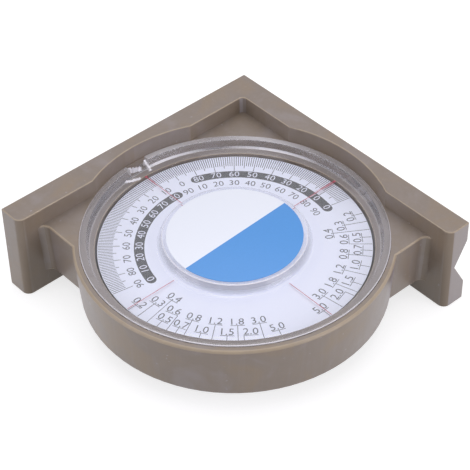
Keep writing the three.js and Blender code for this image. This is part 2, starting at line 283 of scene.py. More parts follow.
@dataclass(frozen=True)
class MouldedPlastic:
    """Taupe moulded plastic, satin and mottled, with a painted warm highlight on edges, brown corners and
    painted shade on inner walls, and pale faces, most of them painted reflections and light.
    """

    name: str = "taupe_plastic"
    base: Colour = (0.268, 0.219, 0.179)
    shade: Colour = (0.234, 0.189, 0.15)
    warm: Colour = (0.288, 0.214, 0.138)
    cool: Colour = (0.312, 0.275, 0.27)
    # brown: rounded corners, and painted shade on inner walls
    brown: Colour = (0.215, 0.163, 0.112)
    # edge: a painted warm highlight along edges
    edge: Colour = (0.43, 0.34, 0.235)
    # pale: flecks and a pale seat, and painted reflections and light
    pale: Colour = (0.4, 0.365, 0.37)
    warm_share: float = 0.55
    cool_share: float = 0.5
    brown_share: float = 0.8
    edge_share: float = 0.7
    drag_share: float = 0.15
    fleck_share: float = 0.6
    sheen: Colour = (0.62, 0.6, 1.0)
    roughness: float = 0.32
    cloud_scale: float = 55
    patch_scale: float = 70
    swirl_scale: float = 140
    # Features per metre of the noise that breaks up the painted edge highlight
    wear_scale: float = 220
    fleck_scale: float = 520
    drag_scale: float = 700
    grain_scale: float = 1600
    relief: float = 0.00003

    def build(self) -> Material:
        """Builds the material.

        Returns:
            The material.
        """
        graph = ShaderGraph(self.name)
        cloud = graph.noise(self.cloud_scale, 3)
        grain = graph.noise(self.grain_scale)
        body = self._mottle(graph, cloud)
        # Brown tints rounded corners and paints shade on inner walls; besides the seat, the pale tint
        # paints reflections and light
        for mark, share, colour in (
            ("pale_and_painted_light", 1.0, self.pale), ("brown_and_shade_tint", self.brown_share, self.brown),
        ):
            body = graph.blend(graph.mark(mark) * share, body, colour)
        # A painted warm highlight along the narrow edge strips, broken up by noise
        highlight_breakup = 0.6 + 0.8 * graph.noise(self.wear_scale)
        painted_edge_highlight = graph.mark("edge_highlight") * self.edge_share * highlight_breakup
        return graph.finish(graph.principled({
            "Base Color": graph.blend(painted_edge_highlight.clamped(), body, self.edge),
            "Roughness": self.roughness + 0.1 * (grain - 0.5) + 0.12 * (cloud - 0.5),
            "Normal": graph.bump(grain, 0.12, self.relief),
            "Sheen Weight": 0.11,
            "Sheen Roughness": 0.35,
            "Sheen Tint": (*self.sheen, 1),
        }))

    def _mottle(self, graph: ShaderGraph, cloud: Signal) -> Signal:
        """The colour of a plain wall: swirls, warm and cool patches, faint drag lines and flecks.

        Args:
            graph: The material's graph.
            cloud: The broad noise that its other sockets use too.

        Returns:
            The colour.
        """
        swirl = graph.noise(self.swirl_scale, 3, distortion=1.6)
        patch = graph.noise(self.patch_scale, 4, distortion=0.8)
        drag = graph.noise(self.drag_scale, 2, graph.stretched((1, 1, 0.04)))
        fleck = graph.noise(self.fleck_scale, 1)
        body = graph.blend(((0.6 * cloud + 0.9 * swirl) - 0.25).clamped(), self.base, self.shade)
        for mask, share, colour in (
            (6 * (patch - 0.52), self.warm_share, self.warm),
            (6 * (0.46 - patch), self.cool_share, self.cool),
            (4 * (drag - 0.5), self.drag_share, self.cool),
            (14 * (fleck - 0.735), self.fleck_share, self.pale),
        ):
            body = graph.blend(mask.clamped() * share, body, colour)
        return body


@dataclass(frozen=True)
class ClearPlastic:
    """Polished clear plastic that lets the lamps through to the dial, with haze and painted light along
    its walls.

    The haze and painted light of the walls that look thin fade towards their foot, over a height in
    metres. Bright above a set share, they are a painted highlight on those walls, and less is painted
    grey shade. On other faces
    they are bright: painted highlights, reflections and light, and the real haze of torn plastic.
    """

    name: str = "clear_plastic_polished"
    tint: Colour = (0.985, 0.988, 1.0)
    # The bright colour of haze and painted highlights, then the painted grey shade of the walls that look
    # thin
    haze: Colour = (0.945, 0.925, 0.96)
    dull: Colour = (0.4, 0.4, 0.44)
    roughness: float = 0.012
    index: float = 1.49
    foot: float = 0.0228
    fade: float = 0.0015
    milky_from: float = 0.7
    smudge_scale: float = 90

    def build(self) -> Material:
        """Builds the material.

        Returns:
            The material.
        """
        graph = ShaderGraph(self.name)
        smudge = graph.noise(self.smudge_scale, 3)
        glass = graph.principled({
            "Base Color": (*self.tint, 1),
            "Roughness": self.roughness + 0.01 * smudge,
            "IOR": self.index,
            "Transmission Weight": 1.0,
        })
        # A milky layer over the glass paints highlights, reflections, light and grey shade where faces
        # are marked
        haze, thin = graph.mark("haze"), graph.mark("thin")
        slant = graph.node("LayerWeight", {"Blend": 0.5}, "Facing")
        tone = ((haze > self.milky_from) + (1 - thin) - 0.15 * smudge).clamped()
        milk_and_painted_light = graph.principled({
            "Base Color": graph.blend(tone, self.dull, self.haze),
            "Roughness": 0.2,
            "IOR": self.index,
        })
        pane = graph.node("BsdfTransparent", {"Color": (*self.tint, 1)})
        gloss = graph.node("BsdfGlossy", {"Roughness": 0.05})
        shine = (0.04 + 0.5 * slant * slant * slant * slant).clamped()
        clear = graph.layer(thin, glass, graph.layer(shine, pane, gloss))
        faded = (1 - (graph.along("Z") - self.foot) * (1 / self.fade)).clamped() * thin
        share = (haze * (1 - slant * thin) * (1 - faded)).clamped()
        return graph.finish(graph.lets_light_through(graph.layer(share, clear, milk_and_painted_light)))


@dataclass(frozen=True)
class LabelFilm:
    """Satin label film, one part white and one part blue, divided by a straight line.

    The line rises by slope across the label, from a rise in metres at the axis.
    """

    axis: Vector
    name: str = "label_film_two_tone"
    white: Colour = (0.88, 0.91, 0.99)
    blue: Colour = (0.086, 0.33, 0.77)
    slope: float = 0.0386
    rise: float = 0.00058
    sharpness: float = 8000
    passed: float = 0.75
    grain_scale: float = 2500
    relief: float = 0.00002

    def build(self) -> Material:
        """Builds the material.

        Returns:
            The material.
        """
        graph = ShaderGraph(self.name)
        across = graph.along("X") - self.axis.x
        up = graph.along("Y") - self.axis.y
        side = (up - self.slope * across - self.rise) * self.sharpness + 0.5
        grain = graph.noise(self.grain_scale)
        blue = graph.blend(grain, self.blue, [0.9 * part for part in self.blue])
        white = graph.blend(grain, self.white, [0.97 * part for part in self.white])
        film = graph.principled({
            "Base Color": graph.blend(side.clamped(), white, blue),
            "Roughness": 0.32 + 0.08 * grain,
            "Normal": graph.bump(grain, 0.08, self.relief),
        })
        return graph.finish(graph.lets_light_through(film, self.passed))


@dataclass(frozen=True)
class Speckled:
    """A plain solid finish with a fine speckle in its colour, gloss and relief."""

    name: str
    colour: Colour
    second: Colour
    roughness: float = 0.5
    spread: float = 0.1
    scale: float = 1500
    relief: float = 0.00002

    def build(self) -> Material:
        """Builds the material.

        Returns:
            The material.
        """
        graph = ShaderGraph(self.name)
        grain = graph.noise(self.scale, 3)
        return graph.finish(graph.principled({
            "Base Color": graph.blend(grain, self.colour, self.second),
            "Roughness": self.roughness + self.spread * (grain - 0.5),
            "Normal": graph.bump(grain, 0.15, self.relief),
        }))


@dataclass(frozen=True)
class DrawnMetal:
    """Bare metal with fine drawing lines along one axis."""

    name: str
    colour: Colour
    second: Colour
    roughness: float = 0.3
    spread: float = 0.16
    lines: Triple = (1, 1, 0.05)
    line_scale: float = 4000
    cloud_scale: float = 160
    relief: float = 0.00001

    def build(self) -> Material:
        """Builds the material.

        Returns:
            The material.
        """
        graph = ShaderGraph(self.name)
        streak = graph.noise(self.line_scale, 2, graph.stretched(self.lines))
        cloud = graph.noise(self.cloud_scale)
        return graph.finish(graph.principled({
            "Base Color": graph.blend(cloud, self.colour, self.second),
            "Metallic": 1.0,
            "Roughness": self.roughness + self.spread * (streak - 0.5),
            "Normal": graph.bump(streak, 0.1, self.relief),
        }))


# Workshop


def stand(name: str, data: bpy.types.ID) -> Thing:
    """Adds an object to the scene.

    Args:
        name: Its name.
        data: Its mesh, curve, lamp or camera.

    Returns:
        The new object.
    """
    made = bpy.data.objects.new(name, data)
    bpy.context.scene.collection.objects.link(made)
    return made


def evaluated(thing: Thing) -> Thing:
    """The object as its modifiers and text make it."""
    bpy.context.view_layer.update()
    return thing.evaluated_get(bpy.context.evaluated_depsgraph_get())


def as_mesh(name: str, shape: Shape) -> bpy.types.Mesh:
    """Makes a mesh.

    Args:
        name: Its name.
        shape: Its shape, which is used up.

    Returns:
        The mesh.
    """
    data = bpy.data.meshes.new(name)
    shape.to_mesh(data)
    shape.free()
    return data


@dataclass
class Workshop:
    """Turns meshes made in millimetres about the dial axis into pieces of the model."""

    frame: dict[str, object]
    axis: Vector
    made: list[str] = field(default_factory=list)

    def piece(
        self, name: str, shape: Shape, material: Material, body: Body, slot: Slot,
        replaces: str | None = None, crease: float | None = 30,
    ) -> Thing:
        """Makes a piece.

        Args:
            name: The piece's name.
            shape: Its shape, which is used up.
            material: Its only material.
            body: The body that it rides on.
            slot: Not used.
            replaces: The CAD node that it stands for, if any.
            crease: The angle in degrees past which an edge shows sharp; None keeps the marks.

        Returns:
            The new object.
        """
        shape.transform(Matrix.Translation(self.axis) @ Matrix.Scale(MILLIMETRE, 4))
        for face in shape.faces:
            face.smooth = True
        data = as_mesh(name, shape)
        if crease is not None:
            data.set_sharp_from_angle(angle=math.radians(crease))
        data.materials.append(material)
        made = stand(name, data)
        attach(made, body.value)
        if replaces:
            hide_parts(replaces)
        self.made.append(name)
        LOG.info("%s: %d faces, on %s", name, len(data.polygons), body.value)
        return made

    def dress(self, node: str, material: Material) -> None:
        """Gives a CAD node its material.

        Args:
            node: The node's name.
            material: Its only material.
        """
        target = self.frame["nodes"][node]
        target.data.materials.clear()
        target.data.materials.append(material)
        LOG.info("%s: %s", node, material.name)

    def copy_of(self, node: str) -> Shape:
        """Copies a CAD node's shape, with its corners merged.

        Args:
            node: The node's name.

        Returns:
            The shape in millimetres about the dial axis.
        """
        shape = bmesh.new()
        shape.from_mesh(self.frame["nodes"][node].data)
        shape.transform(Matrix.Scale(1 / MILLIMETRE, 4) @ Matrix.Translation(-self.axis))
        bmesh.ops.remove_doubles(shape, verts=shape.verts, dist=0.002)
        return shape

    def disc(self, node: str, hole: float, edge: float, facets: int) -> Shape:
        """A round sheet in the place of a CAD node.

        Args:
            node: The node's name.
            hole: The radius of its hole, or 0.
            edge: The radius of its upper edge.
            facets: Facets round the axis.

        Returns:
            The shape.
        """
        low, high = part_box(node)
        radius, bottom, top = (size / MILLIMETRE for size in ((high.x - low.x) / 2, low.z, high.z))
        rim = arc((radius - edge, top - edge), edge, 0, 90, 3)
        return turned([(hole, bottom), (radius, bottom), *rim, (hole, top)], facets)


def polar(radius: float, degrees: float, height: float = 0) -> Vector:
    """A point given by its radius, its angle in degrees and its height."""
    turn = math.radians(degrees)
    return Vector((radius * math.cos(turn), radius * math.sin(turn), height))


def arc(centre: Point, radius: float, start: float, end: float, steps: int) -> list[Point]:
    """Points of an arc in a profile.

    Args:
        centre: Its centre.
        radius: Its radius.
        start: Its first angle in degrees.
        end: Its last angle.
        steps: Straight lines along it.

    Returns:
        Its points, both ends included.
    """
    turn = [math.radians(start + (end - start) * step / steps) for step in range(steps + 1)]
    return [(centre[0] + radius * math.cos(a), centre[1] + radius * math.sin(a)) for a in turn]


def sweep(
    shape: Shape, geometry: list[bmesh.types.BMVert | bmesh.types.BMEdge | Face], turn: float,
    steps: int, centre: Sequence[float] = (0, 0, 0), merge: bool = False,
) -> None:
    """Sweeps part of a shape about an upright axis.

    Args:
        shape: The shape, which grows.
        geometry: Its part that is swept.
        turn: The angle in radians.
        steps: Facets along the way.
        centre: A point of the axis.
        merge: True where the end closes on the start.
    """
    bmesh.ops.spin(
        shape, geom=geometry, cent=centre, axis=(0, 0, 1), dvec=(0, 0, 0), angle=turn, steps=steps,
        use_merge=merge, use_normal_flip=False, use_duplicate=False)


def turned(profile: Sequence[Point], steps: int) -> Shape:
    """A solid of revolution.

    Args:
        profile: Radius and height of each point of the outline, which is closed here.
        steps: Facets round the axis.

    Returns:
        The closed shape, facing outwards.
    """
    shape = bmesh.new()
    corners = [shape.verts.new((radius, 0, height)) for radius, height in profile]
    for first, second in zip(corners, corners[1:] + corners[:1]):
        if first.co.x > 0 or second.co.x > 0:
            shape.edges.new((first, second))
    sweep(shape, shape.verts[:] + shape.edges[:], math.tau, steps, merge=True)
    bmesh.ops.remove_doubles(shape, verts=shape.verts, dist=0.0005)
    bmesh.ops.recalc_face_normals(shape, faces=shape.faces)
    return shape


def less(shape: Shape, cutter: Shape) -> Shape:
    """Cuts one shape out of another.

    Args:
        shape: The shape that is cut, which is used up.
        cutter: What is cut away, used up too.

    Returns:
        What is left.
    """
    holders = [stand("cut", as_mesh("cut", source)) for source in (shape, cutter)]
    cut = holders[0].modifiers.new("cut", "BOOLEAN")
    cut.operation = "DIFFERENCE"
    cut.solver = "EXACT"
    cut.object = holders[1]
    result = bmesh.new()
    result.from_mesh(evaluated(holders[0]).data)
    for holder in holders:
        data = holder.data
        bpy.data.objects.remove(holder)
        bpy.data.meshes.remove(data)
    return result


def join(shape: Shape, other: Shape) -> None:
    """Adds one shape to another.

    Args:
        shape: The shape that grows.
        other: The shape that is added and used up.
    """
    data = as_mesh("joined", other)
    shape.from_mesh(data)
    bpy.data.meshes.remove(data)


# Moulded frame


@dataclass
class MouldedFrame:
    """The one-piece frame: legs, webs and case, with its sharp edges broken.

    Its faces are marked by their width, their bend and their place for the tints of the plastic: a
    painted highlight on edges, brown rounded corners, painted brown shade on the legs' inner walls with
    painted pale light on some arch facets, a pale cover seat, a painted pale reflection in hollows, and
    painted light on the grooved leg's end.
    Bends and creases are in degrees.
    """

    shop: Workshop
    finish: MouldedPlastic = MouldedPlastic()
    flat_bend: float = 0.6
    bevel_width: float = 0.18
    bevel_bend: float = 42
    crease: float = 36
    wide_crease: float = 20
    wide_face: float = 2.0
    strip_width: float = 0.45
    strip_bend: float = 5
    hollow_width: float = 1.8
    hollow_bend: float = 12
    # A painted pale reflection in hollows
    hollow_share: float = 0.85
    seat_radius: float = 47.4
    seat_gap: tuple[float, float] = (-0.2, 0.7)
    seat_level: float = 21.0
    seat_share: float = 0.62
    recess_from: float = -38.0
    recess_to: float = 45.0
    # Painted brown shade on the legs' inner walls and arch facets, turning to painted pale light on arch
    # facets turned one way
    recess_facing: float = 0.7
    recess_share: float = 0.5
    groove_arch_share: float = 0.6
    # Painted light on the grooved leg's end
    groove_end_share: float = 0.5
    arch_share: float = -0.15
    arch_turn: float = 2.2
    arch_pale: float = 0.14
    arch_facet: float = 4.0

    def build(self) -> None:
        """Makes the piece that stands for the frame."""
        shape = self.shop.copy_of("frame")
        bmesh.ops.dissolve_limit(
            shape, angle_limit=math.radians(self.flat_bend), use_dissolve_boundaries=False,
            verts=shape.verts, edges=shape.edges, delimit=set())
        self._break_edges(shape)
        self._mark_tints(shape)
        bmesh.ops.triangulate(shape, faces=[face for face in shape.faces if len(face.verts) > 4])
        self._mark_creases(shape)
        made = self.shop.piece(
            "moulded_frame", shape, self.finish.build(), Body.HOUSING, Slot.MOULDED, "frame", None)
        weighted = made.modifiers.new("even_shading", "WEIGHTED_NORMAL")
        weighted.keep_sharp = True
        weighted.weight = 50

    def _break_edges(self, shape: Shape) -> None:
        """Bevels the edges that the mould leaves sharp, but for the rim round the cover.

        Args:
            shape: The frame's shape.
        """
        limit = math.radians(self.bevel_bend)
        sharp = [
            edge for edge in shape.edges
            if edge.is_convex and edge.calc_face_angle(0) > limit and not self._by_cover(edge)
        ]
        bmesh.ops.bevel(
            shape, geom=sharp, offset=self.bevel_width, offset_type="OFFSET", segments=2, profile=0.5,
            affect="EDGES", clamp_overlap=False, loop_slide=True, material=-1)

    def _by_cover(self, edge: bmesh.types.BMEdge) -> bool:
        """True for an edge along the gap round the cover."""
        least, most = self.seat_gap
        return all(least < corner.co.xy.length - self.seat_radius < most for corner in edge.verts)

    @staticmethod
    def _width(face: Face) -> float:
        """The width of a face that is much longer than wide, and near it for others."""
        return 2 * face.calc_area() / max(face.calc_perimeter(), 1e-6)

    @staticmethod
    def _bend(face: Face) -> float:
        """The lesser bend along a face's two longest edges; hollow ones are negative."""
        longest = sorted(face.edges, key=lambda edge: edge.calc_length())[-2:]
        return math.degrees(min(edge.calc_face_angle_signed(0) for edge in longest))

    def _mark_tints(self, shape: Shape) -> None:
        """Marks each face with its shares of the plastic's tints, most of them painted highlight, shade
        and light.

        Args:
            shape: The frame's shape.
        """
        layers = shape.faces.layers.float
        edges, brown, pale = [layers.new(name) for name in ("edge_highlight", "brown_and_shade_tint", "pale_and_painted_light")]
        for face in shape.faces:
            width, bend = self._width(face), self._bend(face)
            middle, normal = face.calc_center_bounds(), face.normal
            upright = abs(normal.z) < 0.1 and width < self.hollow_width
            # Narrow convex strips get a painted highlight, and upright rounded corners brown
            if width < self.strip_width and bend > self.strip_bend:
                face[edges] = 1.0
            elif upright and bend > self.hollow_bend:
                face[brown] = 1.0
            else:
                # The legs' inner walls get painted brown shade, or painted pale light on arch facets
                # turned one way
                recess = self._recess(normal, middle, width)
                face[brown] = max(recess, 0.0)
                face[pale] = max(-recess, 0.0)
            if normal.z > 0.9 and abs(middle.z - self.seat_level) < 0.1:
                face[pale] = self.seat_share
            # Hollows get a painted pale reflection
            elif upright and bend < -self.hollow_bend:
                face[pale] = self.hollow_share
            # The grooved leg's end gets painted light
            elif normal.y > 0.99 and middle.y > self.recess_to and middle.x < self.recess_from:
                face[pale] = self.groove_end_share

    def _recess(self, normal: Vector, middle: Vector, width: float) -> float:
        """The painted shade or light of a face of the legs' inner walls.

        Args:
            normal: The face's normal.
            middle: Its middle.
            width: Its width.

        Returns:
            The brown share, or less than 0 for a pale one.
        """
        near, far = sorted((middle.x, middle.y))
        turn, towards = sorted((normal.x, normal.y))
        if towards < self.recess_facing or near > self.recess_from or far > self.recess_to:
            return 0.0
        if width > self.arch_facet:
            return self.recess_share
        if normal.x > normal.y:
            return self.groove_arch_share
        return min(max(self.arch_share - self.arch_turn * turn, -self.arch_pale), 1.0)

    def _mark_creases(self, shape: Shape) -> None:
        """Marks the edges that show sharp: steep ones, and shallower ones between wide faces.

        Args:
            shape: The frame's shape.
        """
        steep, shallow = math.radians(self.crease), math.radians(self.wide_crease)
        for edge in shape.edges:
            angle = edge.calc_face_angle(0)
            wide = min(self._width(face) for face in edge.link_faces) > self.wide_face
            edge.smooth = not (angle > steep or (wide and angle > shallow))


# Clear cover


@dataclass
class ClearCover:
    """The clear cover, turned finely, with its notch.

    The haze and painted light of a face depend on its tilt, which is the rise of its normal: past flat it
    lies level, past turned_up it is the upper part of a rounded edge, and under steep it is a wall.
    Rounded edges get a painted highlight, the raised centre's wall painted grey shade, the notch's end
    wall painted light, and the rim's top and inner wall a painted reflection that changes with the angle
    from the nearest side, with two bright painted streaks on the far rim. Angles about the axis are in
    degrees, and slack takes up rounding.
    """

    shop: Workshop
    finish: ClearPlastic = ClearPlastic()
    facets: int = 256
    radius: float = 47.3
    seat: float = 21.0
    window_top: float = 22.8
    rim_top: float = 25.6
    rim_inner: float = 45.0
    rim_foot: float = 44.7
    rim_edge: float = 0.35
    foot_round: float = 0.8
    boss_top: float = 25.4
    boss_ceiling: float = 23.9
    boss_radius: float = 22.4
    boss_base: float = 23.4
    boss_wall: float = 1.5
    boss_edge: float = 0.5
    recess: float = 21.2
    recess_depth: float = 0.2
    socket_bottom: float = 22.75
    bore: float = 1.6
    socket: float = 3.2
    notch: tuple[float, float] = (-94.2, -84.5)
    notch_floor: float = 23.1
    notch_steps: int = 12
    thin_radius: float = 27.0
    flat: float = 0.97
    turned_up: float = 0.55
    steep: float = 0.25
    slack: float = 0.01
    # Shares of haze and painted light: painted grey shade on the raised centre's wall, painted highlights
    # on rounded edges and the rim's foot, painted light on the notch's end wall, and a painted reflection
    # on the rim's inner wall and top
    boss_haze: float = 0.65
    boss_edge_haze: float = 0.75
    edge_haze: float = 0.75
    inner_edge_haze: float = 0.15
    foot_haze: float = 0.2
    end_haze: float = 0.85
    wall_haze: float = 0.07
    wall_side_haze: float = 0.13
    top_haze: float = 0.2
    nearest: float = 45.0
    side_share: float = 0.8
    # Angles of two bright streaks of painted reflection on the far rim, their half width and their share
    streaks: tuple[float, ...] = (-101.0, -148.0)
    streak_width: float = 20.0
    streak_haze: float = 0.43

    def build(self) -> None:
        """Makes the piece that stands for the cover."""
        shape = less(turned(self._profile(), self.facets), self._cutter())
        self._mark_haze(shape)
        self.shop.piece(
            "window_cover", shape, self.finish.build(), Body.HOUSING, Slot.CLEAR, "clear_cover", 32)

    def _profile(self) -> list[Point]:
        """Draws the outline of the cover's wall.

        Returns:
            Its points, from the middle of its hollow outwards and back.
        """
        edge, foot, top = self.rim_edge, self.foot_round, self.boss_edge
        recess_floor = self.boss_top - self.recess_depth
        return [
            (0, self.boss_ceiling),
            (self.bore, self.boss_ceiling),
            (self.bore, self.socket_bottom),
            (self.socket, self.socket_bottom),
            (self.socket, self.boss_ceiling),
            (self.boss_radius - self.boss_wall, self.boss_ceiling),
            (self.boss_base - self.boss_wall, self.seat),
            (self.thin_radius, self.seat),
            (self.radius, self.seat),
            *arc((self.radius - edge, self.rim_top - edge), edge, 0, 90, 5),
            *arc((self.rim_inner + edge, self.rim_top - edge), edge, 90, 180, 5),
            *arc((self.rim_foot - foot, self.window_top + foot), foot, 0, -90, 7),
            *arc((self.boss_base + top, self.window_top + top), top, -90, -150, 5),
            *arc((self.boss_radius - top, self.boss_top - top), top, 30, 90, 5),
            (self.recess, self.boss_top),
            (self.recess, recess_floor),
            (0, recess_floor),
        ]

    def _mark_haze(self, shape: Shape) -> None:
        """Marks each face's haze and painted light, and the faces round the raised centre that look thin.

        Args:
            shape: The cover's shape.
        """
        haze, thin = [shape.faces.layers.float.new(name) for name in ("haze", "thin")]
        for face in shape.faces:
            radii = [corner.co.xy.length for corner in face.verts]
            face[haze] = self._haze_of(face, min(radii), max(radii))
            face[thin] = float(self._looks_thin(face.calc_center_median().z, max(radii)))

    def _looks_thin(self, height: float, outer: float) -> bool:
        """Finds the raised centre and the underside next to it.

        Args:
            height: The level of a face's middle.
            outer: The radius of its farthest corner.

        Returns:
            True where the face looks thin.
        """
        if height > self.window_top + self.slack:
            return outer < self.boss_base + self.boss_edge + self.slack
        return height < self.window_top - 0.1 and outer < self.thin_radius + self.slack

    def _haze_of(self, face: Face, inner: float, outer: float) -> float:
        """A face's haze and painted light, from its place and its tilt.

        Args:
            face: The face.
            inner: The radius of its nearest corner.
            outer: The radius of its farthest corner.

        Returns:
            The share of haze and painted light, from 0 to 1.
        """
        middle, tilt = face.calc_center_median(), face.normal.z
        if max(corner.co.z for corner in face.verts) < self.window_top + self.slack:
            return 0.0
        # Raised centre: painted grey shade on its wall, a painted highlight on its upper edge
        if outer < self.boss_base + 1:
            if inner < self.boss_radius - self.boss_edge - self.slack or tilt > self.flat:
                return 0.0
            low = middle.z < self.window_top + self.boss_edge
            return self.boss_haze if low or tilt <= self.turned_up else self.boss_edge_haze
        turn = math.degrees(math.atan2(middle.y, middle.x))
        # Share of the painted reflection streaks at this angle
        streak = self._streak(turn)
        facing = math.cos(math.radians(turn - self.nearest))
        lean = face.normal.dot(polar(1, turn))
        # Rounded edges and the rim's foot: painted highlights
        if self.steep < tilt < self.flat and inner > self.rim_foot - self.foot_round - self.slack:
            if outer < self.rim_foot + self.slack:
                return self.foot_haze + streak * (self.edge_haze - self.foot_haze)
            seen = self.side_share + (1 - self.side_share) * facing * facing
            return (self.edge_haze if lean > 0 else self.inner_edge_haze) * seen
        # Rim's top: a painted reflection, stronger away from the nearest side, with the painted streaks
        if inner > self.rim_inner and tilt > self.flat:
            clear = self.top_haze * (1 - facing) / 2
            return clear + streak * (self.streak_haze - clear)
        # The notch's end walls: painted light
        if inner > self.rim_foot - 1 and abs(lean) < 0.5 and tilt < 0.5:
            return self.end_haze
        # The rim's inner wall: a veil of painted reflection, stronger at the sides
        if lean < -0.5 and abs(tilt) < self.steep:
            return self.wall_haze + self.wall_side_haze * (1 - facing * facing)
        return 0.0

    def _streak(self, turn: float) -> float:
        """How much of a bright streak of painted reflection lies on the rim.

        Args:
            turn: The angle about the axis in degrees.

        Returns:
            The share, from 0 to 1.
        """
        if turn > self.notch[0]:
            return 0.0
        gap = min(abs(turn - streak) for streak in self.streaks)
        return max(0.0, 1 - (gap / self.streak_width) ** 2)

    def _cutter(self) -> Shape:
        """Makes the shape that cuts the rim away between the two ends of the notch.

        Returns:
            The shape.
        """
        start, end = self.notch
        inner, outer = self.rim_foot - self.foot_round, self.radius + 1
        low, high = self.notch_floor, self.rim_top + 1
        cutter = bmesh.new()
        face = cutter.faces.new([
            cutter.verts.new(polar(radius, start, height))
            for radius, height in ((inner, low), (outer, low), (outer, high), (inner, high))
        ])
        sweep(cutter, [face], math.radians(end - start), self.notch_steps)
        bmesh.ops.recalc_face_normals(cutter, faces=cutter.faces)
        return cutter


@dataclass(frozen=True)
class Ridge:
    """A torn ridge between two points, each a radius, an angle in degrees and a level.

    Its crest narrows at random to a share of its width, between the two of crest_share.
    """

    start: Triple
    end: Triple
    foot: float
    half_width: float = 0.42
    cuts: int = 23
    crest_share: tuple[float, float] = (0.2, 0.6)

    def build(self, chance: random.Random, ragged: float) -> Shape:
        """Makes the ridge.

        Args:
            chance: The source of the random moves.
            ragged: The most that its crest moves, and twice what its sides move.

        Returns:
            The ridge's shape.
        """
        start, end = polar(*self.start), polar(*self.end)
        side = (end - start).cross(Vector((0, 0, 1))).normalized()
        ridge = bmesh.new()
        bmesh.ops.create_cube(ridge, size=1)
        length = [edge for edge in ridge.edges if abs(edge.verts[0].co.x - edge.verts[1].co.x) > 0.5]
        bmesh.ops.subdivide_edges(ridge, edges=length, cuts=self.cuts, use_grid_fill=True)
        for corner in ridge.verts:
            share, across, high = corner.co.x + 0.5, 2 * corner.co.y, corner.co.z > 0
            middle = start.lerp(end, share)
            nib = chance.uniform(*self.crest_share) if high else 1.0
            crest = middle.z + chance.uniform(-ragged, ragged)
            corner.co = middle + side * (across * nib * self.half_width)
            corner.co += side * chance.uniform(-ragged, ragged) / 2
            corner.co.z = crest if high else self.foot
        return ridge


@dataclass
class GateRemains:
    """The torn ridges that are left in the notch, where the moulding gate was cut away."""

    shop: Workshop
    finish: ClearPlastic = ClearPlastic("clear_plastic_torn", roughness=0.1)
    ridges: tuple[Ridge, ...] = (
        Ridge((47.0, -84.7, 25.1), (44.8, -90.4, 24.2), 22.85),
        Ridge((44.5, -80.2, 23.3), (42.1, -86.6, 23.2), 22.7, 0.45, 13),
        Ridge((46.6, -93.4, 25.0), (42.9, -93.2, 23.1), 22.7, 0.6, 9),
    )
    haze: float = 0.85
    ragged: float = 0.45
    seed: int = 7

    def build(self) -> None:
        """Makes the ridges, as one piece."""
        chance = random.Random(self.seed)
        shape = bmesh.new()
        for ridge in self.ridges:
            join(shape, ridge.build(chance, self.ragged))
        haze = shape.faces.layers.float.new("haze")
        for face in shape.faces:
            face[haze] = self.haze
        bmesh.ops.recalc_face_normals(shape, faces=shape.faces)
        self.shop.piece("gate_remains", shape, self.finish.build(), Body.HOUSING, Slot.CLEAR)


@dataclass
class CoverLabel:
    """The round label in the recess on the raised centre of the cover."""

    shop: Workshop
    edge: float = 0.06
    facets: int = 192

    def build(self) -> None:
        """Makes the piece that stands for the label."""
        shape = self.shop.disc("cover_label", 0, self.edge, self.facets)
        self.shop.piece(
            "round_label", shape, LabelFilm(self.shop.axis).build(), Body.HOUSING, Slot.LABEL,
            "cover_label", 40)


# Print


